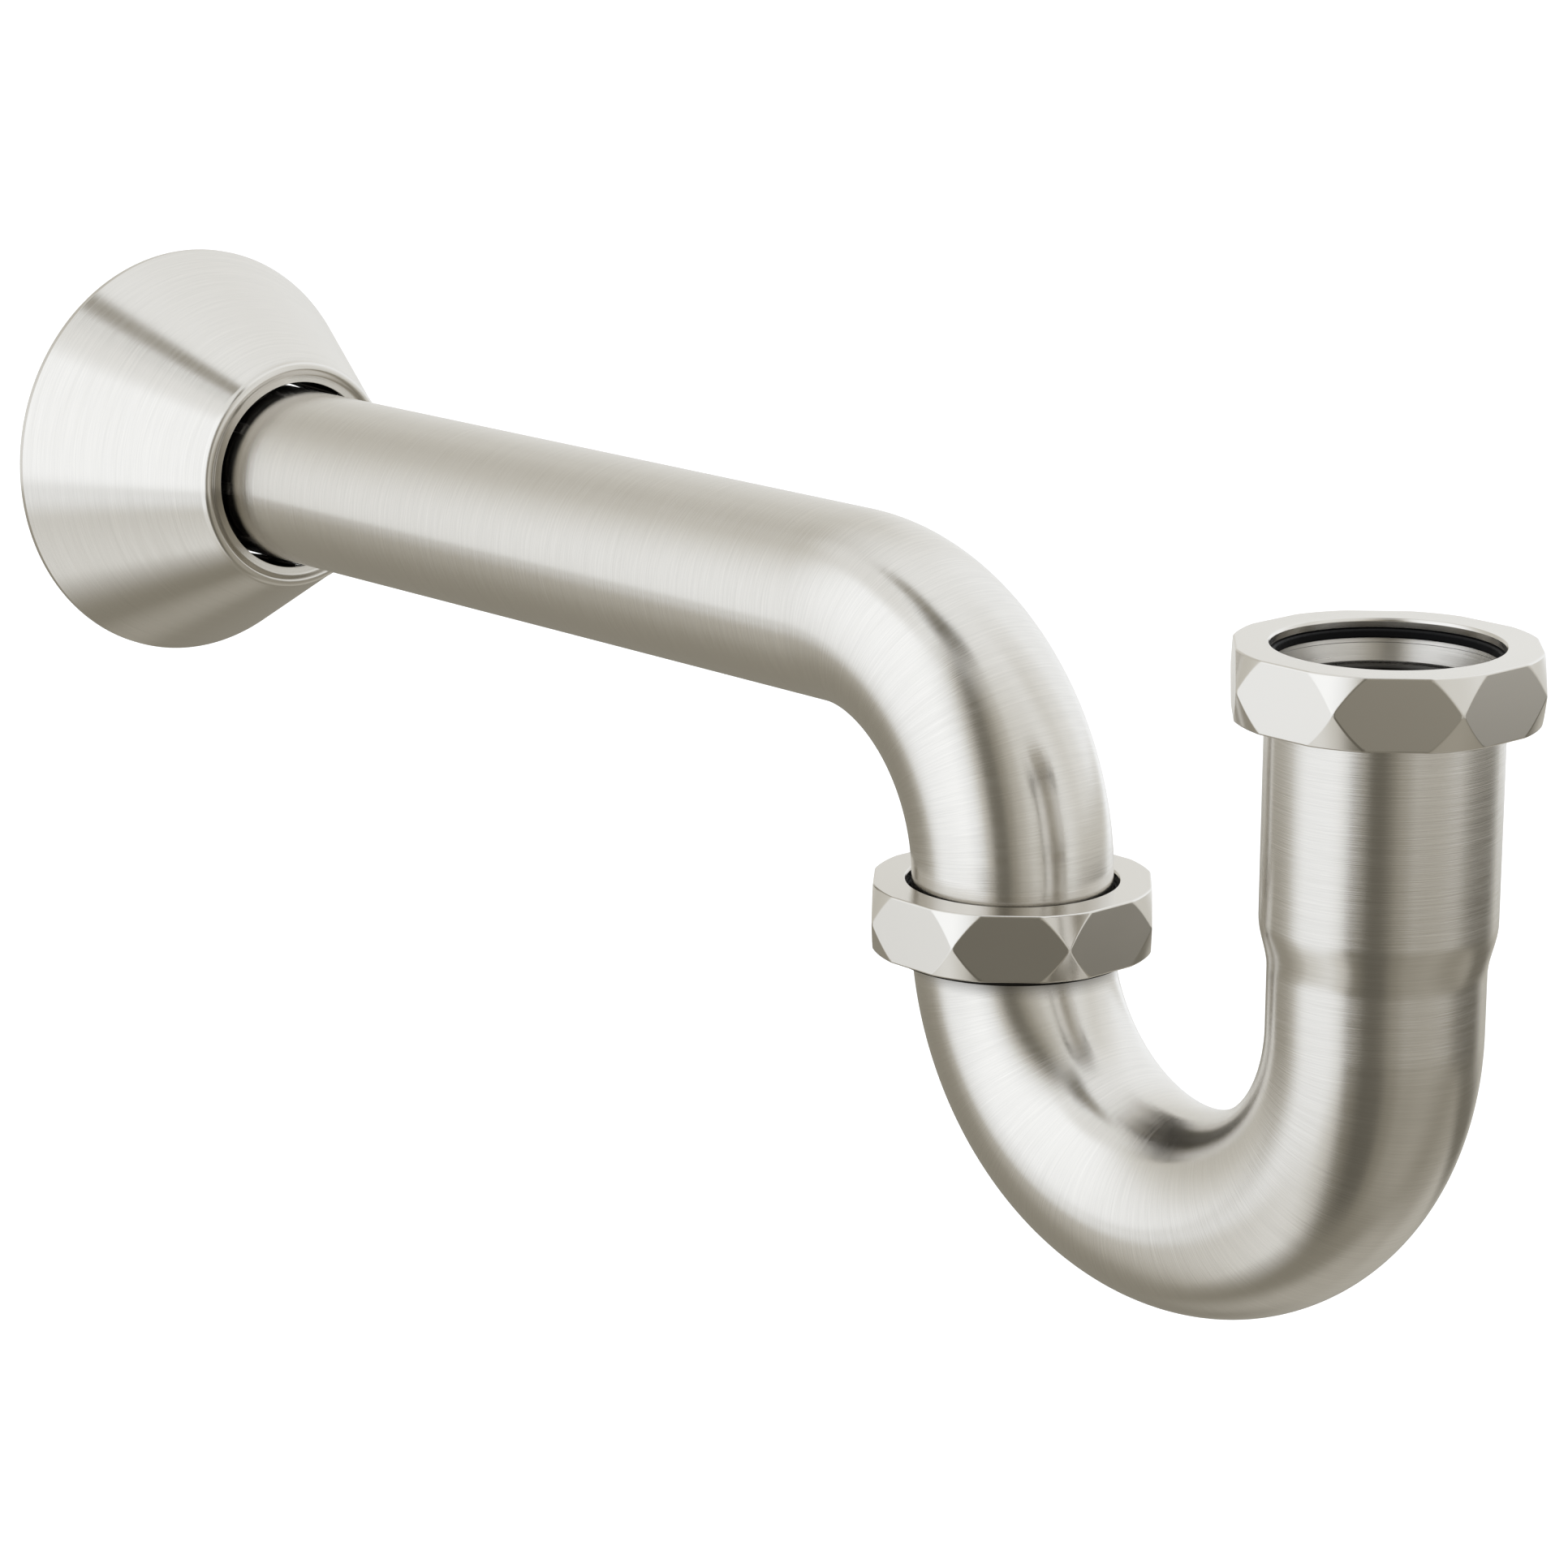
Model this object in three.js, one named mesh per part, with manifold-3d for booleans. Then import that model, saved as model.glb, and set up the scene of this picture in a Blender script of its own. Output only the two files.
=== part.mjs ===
// Tubular P trap for a 1 1/4 in lavatory drain, in millimetres, +Z up.
//
// The origin is where the wall tube's axis crosses the face of the wall. The tube runs out of the wall
// along +X, turns down through 90 degrees, and stands in the threaded collar of the J-bend. The J-bend
// comes up again under the basin, where its wide socket takes the basin's tailpiece.

import * as THREE from 'three';
import { mergeVertices } from 'three/addons/utils/BufferGeometryUtils.js';
import Module from 'manifold-3d';

const wasm = await Module();
wasm.setup();

// Driving dimensions ------------------------------------------------------------------------------------

const TUBE_R = 31.75 / 2; // outside radius of 1 1/4 in tube
const TUBE_WALL = 1.14; // 17 gauge
const BEND_R = 37.5; // centreline radius of every bend
const IN_WALL = 25; // tube standing inside the wall
const ARM = 186.4; // wall face to the start of the wall bend
const DROP = 44.6; // wall tube's axis down to the start of the J-bend

const SOCKET_R = 17.24; // outside radius of the socket that takes the tailpiece
const SOCKET_TOP = 9.9; // height of its rim
const SOCKET_BEVEL = 0.7; // inside its mouth
const SWAGE_LOW = -35.6; // the tube widens from here
const SWAGE_HIGH = -27.6; // up to here

const NUT_CORNER_R = 23.58; // across the corners, halved
const NUT_SIDES = 8;
const NUT_H = 10.7;
const NUT_FACE_R = 22.2; // the coned corners run down to this radius at both faces
const NUT_HOLE_R = 16.7; // hole in the nut's lip
const NUT_LIP = 1.5;
const NUT_THREAD_R = 20.0; // bore of the nut under the lip
const NUT_EDGE = 0.5; // chamfer at the mouth of each bore

const COLLAR_R = 19.7; // outside of the threaded collars
const COLLAR_EDGE = 0.7; // chamfer at both of its ends
const INLET_COLLAR_BOTTOM = 3.0;
const OUTLET_COLLAR_SKIRT = 5.0; // how far it reaches down the J-bend
const WASHER_HOLE_R = 16.15;
const WASHER_R = 19.2;
const WASHER_H = 1.3;
const SEAT_GAP = 0.1; // left between stacked faces
const SOLDER_GAP = 0.3; // left between a collar and its tube
const BEND_GAP = 0.7; // the same where the tube curves away

const FLANGE_RIM_R = 38.2;
const FLANGE_LIP = 1.1; // cylindrical edge at the wall
const FLANGE_NECK_R = 21.2;
const FLANGE_NECK_X = 34.0;
const FLANGE_FACE_X = 34.9;
const FLANGE_HOLE_R = 17.26;
const FLANGE_SHEET = 0.9;
const BEAD_R = 1.25; // rounded bead round the flange's mouth
const BEAD_CENTRE_R = 19.8;
const BEAD_CENTRE_X = 34.2;
const BEAD_FROM = 0.1; // radians round the bead's section, from outwards towards the front
const BEAD_TO = 2.5;
const NECK_FOLD = 0.7; // bend inside the neck

const SEAL_R = 22.8;
const SEAL_BACK_X = 25.6;
const SEAL_FRONT_X = 28.2;

const SPRING_SIDES = 8;
const SPRING_SHEET = 0.4;
const SPRING_W = 5;
const SPRING_FLAT = 0.7; // share of a side that is flat before its corners bend
const SPRING_FRONT_X = 33.5;
const SPRING_SLIT = 2; // gap between the strip's two ends
const SPRING_TURN = -19; // degrees that the slit lies round from the bottom

const RING_SEGMENTS = 48;
const TUBE_SEGMENTS = 32;
const BEND_STEP = Math.PI / 24;
const SWAGE_STEPS = 8;
const BEAD_STEPS = 6;
const OVERRUN = 1; // how far a cutting solid runs past what it cuts

// Derived places ----------------------------------------------------------------------------------------

const OUTLET_X = ARM + BEND_R;
const INLET_X = OUTLET_X + 2 * BEND_R;
const OUTLET_NUT_TOP = -37.6;
const INLET_NUT_TOP = SOCKET_TOP + 2.9;
const STACK = NUT_LIP + SEAT_GAP + WASHER_H; // from a nut's top face down to the seat of its washer
const LEG_END = DROP - 0.4; // depth of the wall tube's end, in the collar

// Finishes ----------------------------------------------------------------------------------------------

const finish = (color, roughness, metalness) => (name) =>
  new THREE.MeshStandardMaterial({ name, color, roughness, metalness });

const nickel = finish(0xbfbbb1, 0.32, 1);
const rubber = finish(0x101010, 0.7, 0);
const springSteel = finish(0xc8c9cc, 0.25, 1);

// Geometry helpers --------------------------------------------------------------------------------------

// Keeps only positions, merges shared vertices and turns the faces outwards.
function closed(geometry) {
  const bare = geometry.clone();
  for (const name of Object.keys(bare.attributes)) {
    if (name !== 'position') bare.deleteAttribute(name);
  }
  const merged = mergeVertices(bare, 1e-4);
  const at = merged.attributes.position;
  const index = Array.from(merged.index.array);
  const corner = [new THREE.Vector3(), new THREE.Vector3(), new THREE.Vector3()];
  const kept = [];
  let volume = 0;
  for (let i = 0; i < index.length; i += 3) {
    const [a, b, c] = index.slice(i, i + 3);
    if (a === b || b === c || c === a) continue;
    [a, b, c].forEach((vertex, k) => corner[k].fromBufferAttribute(at, vertex));
    volume += corner[0].dot(corner[1].cross(corner[2])) / 6;
    kept.push([a, b, c]);
  }
  merged.setIndex(kept.flatMap((face) => (volume < 0 ? [face[0], face[2], face[1]] : face)));
  return merged;
}

function toSolid(geometry) {
  const clean = closed(geometry);
  return new wasm.Manifold(new wasm.Mesh({
    numProp: 3,
    vertProperties: new Float32Array(clean.attributes.position.array),
    triVerts: new Uint32Array(clean.index.array),
  }));
}

function toGeometry(solid) {
  const mesh = solid.getMesh();
  const geometry = new THREE.BufferGeometry();
  geometry.setAttribute('position', new THREE.BufferAttribute(new Float32Array(mesh.vertProperties), 3));
  geometry.setIndex(new THREE.BufferAttribute(new Uint32Array(mesh.triVerts), 1));
  return geometry;
}

// Turns a profile of [radius, height] points about the Z axis.
function turned(profile, segments = RING_SEGMENTS) {
  const points = profile.map(([r, z]) => new THREE.Vector2(r, z));
  return new THREE.LatheGeometry(points, segments).rotateX(Math.PI / 2);
}

// The same for a profile that goes round a ring and closes on itself.
const turnedRing = (profile, segments) => closed(turned([...profile, profile[0]], segments));

// Points of an arc in [radius, height] space.
function arc([r, z], radius, from, to, steps) {
  return Array.from({ length: steps + 1 }, (_, i) => {
    const angle = from + ((to - from) * i) / steps;
    return [r + radius * Math.cos(angle), z + radius * Math.sin(angle)];
  });
}

// A tube's centreline in the XZ plane: straights take one step, and bends take a step every BEND_STEP.
class BentPath extends THREE.Curve {
  constructor(x, z, heading) {
    super();
    this.stations = [{ x, z, heading }];
  }

  get last() {
    return this.stations[this.stations.length - 1];
  }

  straight(length) {
    const { x, z, heading } = this.last;
    this.stations.push({ x: x + length * Math.cos(heading), z: z + length * Math.sin(heading), heading });
    return this;
  }

  // A positive angle turns from +X towards +Z.
  bend(radius, angle) {
    const { x, z, heading } = this.last;
    const side = Math.sign(angle);
    const centreX = x - side * radius * Math.sin(heading);
    const centreZ = z + side * radius * Math.cos(heading);
    const steps = Math.round(Math.abs(angle) / BEND_STEP);
    for (let i = 1; i <= steps; i++) {
      const now = heading + (angle * i) / steps;
      this.stations.push({
        x: centreX + side * radius * Math.sin(now),
        z: centreZ - side * radius * Math.cos(now),
        heading: now,
      });
    }
    return this;
  }

  station(t) {
    const last = this.stations.length - 1;
    return this.stations[Math.min(last, Math.round(t * last))];
  }

  getPointAt(t) {
    const { x, z } = this.station(t);
    return new THREE.Vector3(x, 0, z);
  }

  getTangentAt(t) {
    const { heading } = this.station(t);
    return new THREE.Vector3(Math.cos(heading), 0, Math.sin(heading));
  }
}

function disc(radius) {
  return new THREE.Shape().setFromPoints(
    Array.from({ length: TUBE_SEGMENTS }, (_, i) => {
      const angle = (2 * Math.PI * i) / TUBE_SEGMENTS;
      return new THREE.Vector2(radius * Math.cos(angle), radius * Math.sin(angle));
    }),
  );
}

function swept(shape, path) {
  const steps = path.stations.length - 1;
  return closed(new THREE.ExtrudeGeometry(shape, { steps, bevelEnabled: false, extrudePath: path }));
}

// Sub-parts ---------------------------------------------------------------------------------------------

// The arm out of the wall, its bend, and the short leg that stands in the collar.
function wallTube() {
  const shape = disc(TUBE_R);
  shape.holes.push(disc(TUBE_R - TUBE_WALL));
  const path = new BentPath(-IN_WALL, 0, 0).straight(IN_WALL + ARM).bend(BEND_R, -Math.PI / 2)
    .straight(LEG_END - BEND_R);
  return swept(shape, path);
}

// Radius up the swage: an S-curve from just under the tube's surface to the socket.
function swageProfile(inset) {
  const low = TUBE_R - 0.025 - inset;
  const high = SOCKET_R - inset;
  return Array.from({ length: SWAGE_STEPS + 1 }, (_, i) => {
    const share = (1 - Math.cos((Math.PI * i) / SWAGE_STEPS)) / 2;
    return [low + (high - low) * share, SWAGE_LOW + ((SWAGE_HIGH - SWAGE_LOW) * i) / SWAGE_STEPS];
  });
}

// A solid that fills the J-bend's tube and socket, drawn in from the outside surface by inset, with both
// ends run on by extra. The socket's root stands inside the tube.
function jBendFill(inset, extra) {
  const path = new BentPath(OUTLET_X, -DROP + extra, -Math.PI / 2).straight(extra).bend(BEND_R, Math.PI)
    .straight(DROP + SWAGE_LOW + 2);
  if (extra === 0) path.stations.shift();
  const swage = swageProfile(inset);
  const root = SWAGE_LOW - 3;
  const top = SOCKET_TOP + extra;
  const socket = [[0, root], [swage[0][0], root], ...swage, [SOCKET_R - inset, top], [0, top]];
  const socketSolid = toSolid(turned(socket, TUBE_SEGMENTS).translate(INLET_X, 0, 0));
  return toSolid(swept(disc(TUBE_R - inset), path)).add(socketSolid);
}

// U tube with the swaged socket, whose mouth is bevelled inside.
function jBend() {
  const bore = SOCKET_R - TUBE_WALL;
  const wide = bore + SOCKET_BEVEL;
  const top = SOCKET_TOP + OVERRUN;
  const mouth = [[0, SOCKET_TOP - SOCKET_BEVEL], [bore, SOCKET_TOP - SOCKET_BEVEL], [wide, SOCKET_TOP],
    [wide, top], [0, top]];
  const mouthSolid = toSolid(turned(mouth, TUBE_SEGMENTS).translate(INLET_X, 0, 0));
  return toGeometry(jBendFill(0, 0).subtract(jBendFill(TUBE_WALL, OVERRUN)).subtract(mouthSolid));
}

// Outside of a threaded collar, from its bottom edge to its top. The thread is drawn as a plain cylinder.
const collarSide = (top, bottom) => [
  [COLLAR_R - COLLAR_EDGE, bottom], [COLLAR_R, bottom + COLLAR_EDGE],
  [COLLAR_R, top - COLLAR_EDGE], [COLLAR_R - COLLAR_EDGE, top],
];

function inletCollar() {
  const bore = SOCKET_R + SOLDER_GAP;
  const top = SOCKET_TOP - SEAT_GAP;
  return turnedRing([...collarSide(top, INLET_COLLAR_BOTTOM), [bore, top], [bore, INLET_COLLAR_BOTTOM]]);
}

// One ring round both tubes: a close bore for the wall tube's leg, and a wider one below it, where the
// J-bend already curves away.
function outletCollar() {
  const top = OUTLET_NUT_TOP - STACK - SEAT_GAP;
  const bottom = -DROP - OUTLET_COLLAR_SKIRT;
  const legBore = TUBE_R + SOLDER_GAP;
  const bendBore = TUBE_R + BEND_GAP;
  return turnedRing([
    ...collarSide(top, bottom), [legBore, top], [legBore, -DROP + NUT_EDGE],
    [bendBore, -DROP], [bendBore, bottom],
  ]);
}

// Flat ring of rubber: a slip-joint washer, or the seal inside the flange.
const rubberRing = (hole, radius, bottom, top) =>
  turnedRing([[hole, top], [radius, top], [radius, bottom], [hole, bottom]]);

// It lies under the nut's lip.
const washer = (nutTop) =>
  rubberRing(WASHER_HOLE_R, WASHER_R, nutTop - STACK, nutTop - NUT_LIP - SEAT_GAP);

// Eight-sided slip nut with coned corners and an inward lip on top. The two cones meet just outside the
// corners.
function slipNut(nutTop) {
  const bottom = nutTop - NUT_H;
  const overlap = 0.02;
  const prism = new THREE.CylinderGeometry(NUT_CORNER_R, NUT_CORNER_R, NUT_H, NUT_SIDES)
    .rotateX(Math.PI / 2)
    .rotateZ(Math.PI / NUT_SIDES)
    .translate(0, 0, nutTop - NUT_H / 2);
  const cones = turned([
    [0, bottom - overlap], [NUT_FACE_R, bottom - overlap], [NUT_CORNER_R + overlap, nutTop - NUT_H / 2],
    [NUT_FACE_R, nutTop + overlap], [0, nutTop + overlap],
  ]);
  const lipBottom = nutTop - NUT_LIP;
  const bore = turned([
    [0, bottom - OVERRUN], [NUT_THREAD_R + NUT_EDGE + OVERRUN, bottom - OVERRUN],
    [NUT_THREAD_R, bottom + NUT_EDGE], [NUT_THREAD_R, lipBottom],
    [NUT_HOLE_R, lipBottom], [NUT_HOLE_R, nutTop - NUT_EDGE],
    [NUT_HOLE_R + NUT_EDGE + OVERRUN, nutTop + OVERRUN], [0, nutTop + OVERRUN],
  ]);
  return toGeometry(toSolid(prism).intersect(toSolid(cones)).subtract(toSolid(bore)));
}

// Spun cone with a short cylindrical edge at the wall, a rounded bead and a turned-in face round its hole.
// Drawn about Z, with the wall at height 0.
function wallFlange() {
  const slope = (FLANGE_RIM_R - FLANGE_NECK_R) / (FLANGE_NECK_X - FLANGE_LIP);
  const bead = arc([BEAD_CENTRE_R, BEAD_CENTRE_X], BEAD_R, BEAD_FROM, BEAD_TO, BEAD_STEPS);
  const insideNeck = FLANGE_NECK_R - FLANGE_SHEET * 1.2;
  const insideFace = FLANGE_FACE_X - FLANGE_SHEET;
  return turnedRing([
    [FLANGE_RIM_R, 0], [FLANGE_RIM_R, FLANGE_LIP], [FLANGE_NECK_R, FLANGE_NECK_X], ...bead,
    [FLANGE_HOLE_R, FLANGE_FACE_X], [FLANGE_HOLE_R, insideFace], [insideNeck - NECK_FOLD, insideFace],
    [insideNeck + NECK_FOLD * slope, FLANGE_NECK_X - NECK_FOLD], [insideNeck + slope * FLANGE_NECK_X, 0],
  ]);
}

// Outline of the spring, a polygon whose corners are cut off.
function springOutline(apothem) {
  const half = Math.PI / SPRING_SIDES;
  const reach = apothem * Math.tan(half) * SPRING_FLAT;
  return Array.from({ length: SPRING_SIDES * 2 }, (_, i) => {
    const across = i % 2 === 0 ? -reach : reach;
    return new THREE.Vector2(apothem, across).rotateAround(new THREE.Vector2(), 2 * half * Math.floor(i / 2));
  });
}

// Strip of spring steel: its flats bear on the tube, and its corners on the flange. One flat is slit.
function springRing() {
  const inner = TUBE_R + SOLDER_GAP;
  const strip = new THREE.Shape(springOutline(inner + SPRING_SHEET));
  strip.holes.push(new THREE.Path(springOutline(inner)));
  const ring = toSolid(new THREE.ExtrudeGeometry(strip, { depth: SPRING_W, bevelEnabled: false }));
  const cut = new THREE.BoxGeometry(10 * SPRING_SHEET, SPRING_SLIT, 3 * SPRING_W).translate(inner, 0, 0);
  return toGeometry(ring.subtract(toSolid(cut)));
}

// Assembly ----------------------------------------------------------------------------------------------

function part(name, geometry, material) {
  const mesh = new THREE.Mesh(geometry, material(name));
  mesh.name = name;
  return mesh;
}

const trap = new THREE.Group();
trap.add(part('wall_tube', wallTube(), nickel));
trap.add(part('j_bend', jBend(), nickel));

const wallAxis = new THREE.Group();
wallAxis.rotation.y = Math.PI / 2;
wallAxis.add(part('wall_flange', wallFlange(), nickel));
wallAxis.add(part('flange_seal', rubberRing(TUBE_R + SOLDER_GAP, SEAL_R, SEAL_BACK_X, SEAL_FRONT_X), rubber));
const spring = part('flange_spring_ring', springRing(), springSteel);
spring.position.z = SPRING_FRONT_X - SPRING_W;
spring.rotation.z = THREE.MathUtils.degToRad(SPRING_TURN);
wallAxis.add(spring);
trap.add(wallAxis);

const outletAxis = new THREE.Group();
outletAxis.position.x = OUTLET_X;
outletAxis.add(part('outlet_collar', outletCollar(), nickel));
outletAxis.add(part('outlet_washer', washer(OUTLET_NUT_TOP), rubber));
outletAxis.add(part('outlet_slip_nut', slipNut(OUTLET_NUT_TOP), nickel));
trap.add(outletAxis);

const inletAxis = new THREE.Group();
inletAxis.position.x = INLET_X;
inletAxis.add(part('inlet_collar', inletCollar(), nickel));
inletAxis.add(part('inlet_washer', washer(INLET_NUT_TOP), rubber));
inletAxis.add(part('inlet_slip_nut', slipNut(INLET_NUT_TOP), nickel));
trap.add(inletAxis);

export default trap;
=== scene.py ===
import math

import bmesh
import bpy
import numpy as np
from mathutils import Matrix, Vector


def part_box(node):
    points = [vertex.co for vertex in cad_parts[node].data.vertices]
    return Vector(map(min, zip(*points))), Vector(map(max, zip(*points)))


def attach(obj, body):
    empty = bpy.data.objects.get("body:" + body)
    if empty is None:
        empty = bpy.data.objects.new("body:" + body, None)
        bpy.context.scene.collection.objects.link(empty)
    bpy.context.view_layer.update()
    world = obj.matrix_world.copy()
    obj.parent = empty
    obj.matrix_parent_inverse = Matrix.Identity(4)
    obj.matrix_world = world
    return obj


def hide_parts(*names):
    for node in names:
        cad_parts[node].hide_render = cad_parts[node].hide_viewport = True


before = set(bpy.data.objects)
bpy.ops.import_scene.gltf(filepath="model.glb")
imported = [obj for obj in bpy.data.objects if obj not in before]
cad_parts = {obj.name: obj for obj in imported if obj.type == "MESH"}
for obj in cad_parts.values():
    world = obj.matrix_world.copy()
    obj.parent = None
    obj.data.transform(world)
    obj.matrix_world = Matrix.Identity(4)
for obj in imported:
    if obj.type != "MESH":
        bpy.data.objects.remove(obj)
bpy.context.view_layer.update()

MM = 0.001

# Places and sizes, in metres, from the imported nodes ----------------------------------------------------


def size(node):
    low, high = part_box(node)
    return high - low


def middle(node):
    low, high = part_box(node)
    return (low + high) / 2


TUBE_R = size("wall_tube").y / 2
TUBE_WALL = 1.14 * MM
OUTLET_X = middle("outlet_slip_nut").x
INLET_X = middle("inlet_slip_nut").x
BEND_R = (INLET_X - OUTLET_X) / 2
WALL_END_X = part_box("wall_tube")[0].x
LEG_END_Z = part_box("wall_tube")[0].z
J_START_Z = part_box("j_bend")[0].z + BEND_R + TUBE_R
SOCKET_R = size("j_bend").y / 2
SOCKET_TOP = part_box("j_bend")[1].z - 0.02 * MM  # just clear of the washer
MOUTH_DEPTH = 3.3 * MM  # of the funnel in the socket's mouth
MOUTH_STEP_DEPTH = 0.7 * MM  # of the small step in it
SWAGE_LOW = -35.6 * MM  # where the tube starts to widen to the socket
SWAGE_HIGH = -27.6 * MM
COLLAR_SHADE_BAND = 2.2 * MM  # height of the painted shade on the J-bend, under the outlet collar

NUT_SIDES = 8
NUT_FLAT_R = size("inlet_slip_nut").y / 2 - 0.001 * MM
NUT_H = size("inlet_slip_nut").z
NUT_EDGE = 0.3 * MM
NUT_RIDGE = 0.07 * MM  # how far a flat and a cone blend
NUT_CORNER_R = NUT_FLAT_R / math.cos(math.pi / NUT_SIDES)
NUT_FACE_R = 22.2 * MM
NUT_HOLE_R = 16.7 * MM
NUT_LIP = 1.5 * MM
NUT_MOUTH = 0.25 * MM
NUT_THREAD_R = 20.0 * MM
WASHER_HOLE_R = 16.15 * MM

COLLAR_CHAMFER = 0.7 * MM
COLLAR_LAND = 1.6 * MM  # plain part under the thread
THREAD_PITCH = 25.4 / 18 * MM
THREAD_DEPTH = 0.6 * MM

FLANGE_RIM_R = size("wall_flange").y / 2
FLANGE_LIP = 1.1 * MM
FLANGE_NECK_R = 21.2 * MM
FLANGE_NECK_X = 34.0 * MM
FLANGE_FACE_X = 34.9 * MM
FLANGE_HOLE_R = 17.26 * MM
FLANGE_SHEET = 0.9 * MM
BEAD_R = 1.25 * MM
BEAD_FALL = 1.3 * MM  # width of the slope from the bead's crest to the face

SPRING_SIDES = 8
SPRING_SHEET = 0.4 * MM
SPRING_EDGE = 0.12 * MM
SPRING_CORNER_R = 5 * MM
SPRING_SLIT = 2 * MM
SPRING_TURN = math.radians(-19)

FACES_IN = -0.5  # a normal whose radial part is less than this faces inward
UNSHADED_BORE_ENDS = 2 * MM  # how far the plated colour reaches into the wall tube's bore, before its painted shade
RING_CLEARANCE = 0.3 * MM  # between the tube and the rings in the flange
TUBE_EDGE = 0.3 * MM
RUBBER_EDGE = 0.3 * MM

# How finely the meshes are made
AROUND = 128
AROUND_FLANGE = 256
AROUND_COLLAR = 160
AROUND_NUT_SIDE = 48
STEP = 1.2 * MM
FINE_STEP = 0.6 * MM
FLANGE_STEP = 2 * MM
CORNER_STEPS = 4
SWAGE_STEPS = 12
BEAD_STEPS = 10
THREAD_STEP = 0.14 * MM
SAME_PLACE = 1e-6
TINY = 0.01 * MM  # for slopes
TINY_TURN = 1e-3

# Profiles and paths ------------------------------------------------------------------------------------


class Path:
    """A centreline in the XZ plane, made of straights and bends."""

    def __init__(self, x, z, heading):
        self.runs = []
        self.x, self.z, self.heading, self.length = x, z, heading, 0.0

    def straight(self, length):
        self.runs.append((self.length, self.x, self.z, self.heading, 0.0))
        self.x += length * math.cos(self.heading)
        self.z += length * math.sin(self.heading)
        self.length += length
        return self

    def bend(self, radius, angle):
        """A positive angle turns from +X towards +Z."""
        curvature = math.copysign(1 / radius, angle)
        self.runs.append((self.length, self.x, self.z, self.heading, curvature))
        end = self.heading + angle
        self.x += (math.sin(end) - math.sin(self.heading)) / curvature
        self.z -= (math.cos(end) - math.cos(self.heading)) / curvature
        self.heading = end
        self.length += abs(angle) * radius
        return self

    def run_at(self, s):
        """The straight or bend that holds the distance s; the first and last ones run on past their ends."""
        reached = [run for run in self.runs if run[0] <= s]
        return reached[-1] if reached else self.runs[0]

    def at(self, s):
        """The point and heading at distance s."""
        start, x, z, heading, curvature = self.run_at(s)
        if curvature == 0:
            return x + (s - start) * math.cos(heading), z + (s - start) * math.sin(heading), heading
        now = heading + curvature * (s - start)
        return (x + (math.sin(now) - math.sin(heading)) / curvature,
                z - (math.cos(now) - math.cos(heading)) / curvature, now)


def upright(x):
    """A vertical axis, on which the distance along is the height itself."""
    return Path(x, 0, math.pi / 2)


def turned(vector, angle):
    return np.array([vector[0] * math.cos(angle) - vector[1] * math.sin(angle),
                     vector[0] * math.sin(angle) + vector[1] * math.cos(angle)])


def rounded(corners, steps=CORNER_STEPS):
    """A closed profile as [radius, distance along, normal's radius, normal's along] points.

    Each corner is (radius, along, fillet), and one with no fillet is a point on a smooth curve.
    """
    points = [np.array(corner[:2], float) for corner in corners]
    following = points[1:] + points[:1]
    area = sum(p[0] * q[1] - q[0] * p[1] for p, q in zip(points, following))
    side = math.copysign(1, area)
    profile = []
    for i, corner in enumerate(corners):
        here = points[i]
        back, ahead = points[i - 1] - here, following[i] - here
        room = 0.49 * min(np.linalg.norm(back), np.linalg.norm(ahead))
        back, ahead = back / np.linalg.norm(back), ahead / np.linalg.norm(ahead)
        normal = side * np.array([-back[1], back[0]])
        half = math.acos(np.clip(back @ ahead, -1, 1)) / 2
        convex = math.copysign(1, -(normal @ ahead))
        turn = side * convex * (math.pi - 2 * half)
        if len(corner) == 2:
            profile.append([*here, *turned(normal, turn / 2)])
            continue
        fillet = min(corner[2], room * math.tan(half))
        centre = here + (back + ahead) / np.linalg.norm(back + ahead) * fillet / math.sin(half)
        for k in range(steps + 1):
            now = turned(normal, turn * k / steps)
            profile.append([*(centre + convex * fillet * now), *now])
    return np.array(profile)


def divided(profile, path, bend_step, straight_step):
    """The same profile with its long runs divided, finely where the path bends."""
    out = []
    for here, after in zip(profile, np.roll(profile, -1, axis=0)):
        out.append(here)
        travel = after[1] - here[1]
        share = 0.0
        while abs(travel) > 1e-9:
            *_, curvature = path.run_at(here[1] + travel * share + math.copysign(1e-6, travel))
            share += (bend_step if curvature else straight_step) / abs(travel)
            if share > 0.999:
                break
            out.append(here * (1 - share) + after * share)
    return np.array(out)


# Meshes ------------------------------------------------------------------------------------------------


class Row:
    """One row of a surface's vertices.

    along is the distance from the first row, and brush the place that the brush lines are drawn from. The
    last value is 1 on dark unplated metal and painted shade, 0 on plate, between on fainter painted shade,
    and below 0 on dull plate.
    """

    def __init__(self, points, normals, along, brush, bare_and_shade=0.0):
        self.points, self.normals, self.along, self.brush, self.bare_and_shade = points, normals, along, brush, bare_and_shade


def all_round(count):
    return np.linspace(0, 2 * math.pi, count, endpoint=False)


def swept(profile, path, around, bare_and_shade=None):
    """Rows for a profile carried along a path.

    The given function of (normal_r, s, z) gives a row's shares of dark unplated metal and painted shade.
    normal_r is below 0 on surfaces that face inward.
    """
    angles = all_round(around)
    rows = []
    along = 0.0
    for i, (r, s, normal_r, normal_s) in enumerate(profile):
        if i:
            along += math.hypot(r - profile[i - 1][0], s - profile[i - 1][1])
        x, z, heading = path.at(s)
        ahead = np.array([math.cos(heading), 0, math.sin(heading)])
        across = np.array([-math.sin(heading), 0, math.cos(heading)])
        out = np.outer(np.cos(angles), across) + np.outer(np.sin(angles), [0, 1, 0])
        brush = np.column_stack([np.full(around, along), r * np.cos(angles), r * np.sin(angles)])
        normals = normal_r * out + normal_s * ahead
        points = np.array([x, 0, z]) + r * out
        share = bare_and_shade(normal_r, s, points[:, 2]) if bare_and_shade else 0.0
        rows.append(Row(points, normals, along, brush, share))
    return rows


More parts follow.
